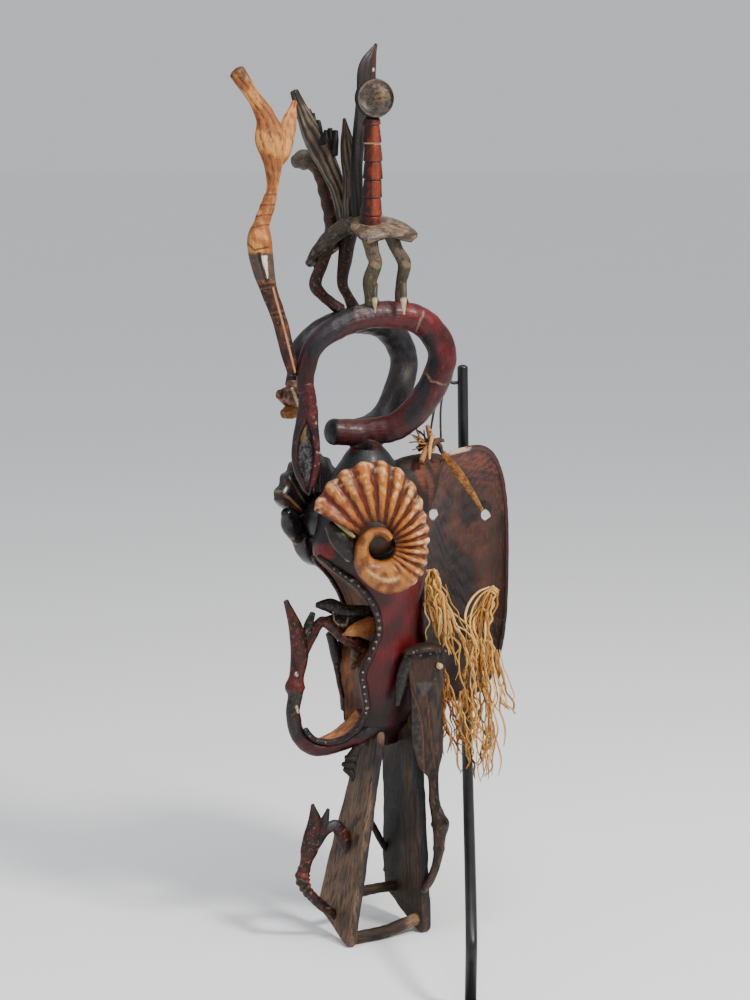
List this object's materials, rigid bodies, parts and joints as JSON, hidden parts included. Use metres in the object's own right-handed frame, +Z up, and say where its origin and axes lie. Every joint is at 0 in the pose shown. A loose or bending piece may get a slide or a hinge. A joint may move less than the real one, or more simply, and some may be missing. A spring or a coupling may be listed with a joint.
{
  "type": "carved hornbill mask on stand",
  "caption": "Carved wooden bird mask with fan ears, coiled snake crest, small crest figures and a hollow back, on a rod stand with a flat foot.",
  "frame": {"origin": "centre of the underside of the stand's foot plate, on the floor", "axes": "-X the way the mask looks, -Y its near side, towards the foot plate, +Z up"},
  "size_m": [0.3724, 0.5309, 0.9654],
  "materials": {
    "carved_head": "crimson paint worn to black and brown, polished by handling",
    "carved_arch": "dark red and black paint over carved wood",
    "ochre_carving": "ochre paint worn pale on the ribs",
    "dark_carving": "near-black stained wood, dull sheen",
    "pale_wood": "bare pale wood with dark grain",
    "weathered_board": "weathered grey-brown board",
    "bark_strip": "tan dried strip",
    "raffia": "dry straw-yellow fibre",
    "wire": "dull dark wire",
    "black_steel": "satin black"
  },
  "bodies": {
    "root": {"mask_head": "carved_head", "near_ear": "ochre_carving", "far_ear": "dark_carving", "snake_arch": "carved_arch", "twin_figures": "dark_carving", "pale_bird": "pale_wood", "front_board": "weathered_board", "back_board": "weathered_board", "bottom_bar": "weathered_board", "middle_bar": "weathered_board", "slant_stick": "dark_carving", "board_bird": "carved_arch", "near_side_leaf": "dark_carving", "far_side_leaf": "dark_carving", "side_peg": "pale_wood", "strap": "bark_strip", "top_tie": "bark_strip", "hanging_wire": "wire", "near_raffia": "raffia", "far_raffia": "raffia", "stand_rod": "black_steel", "stand_foot": "black_steel"}
  },
  "joints": []
}
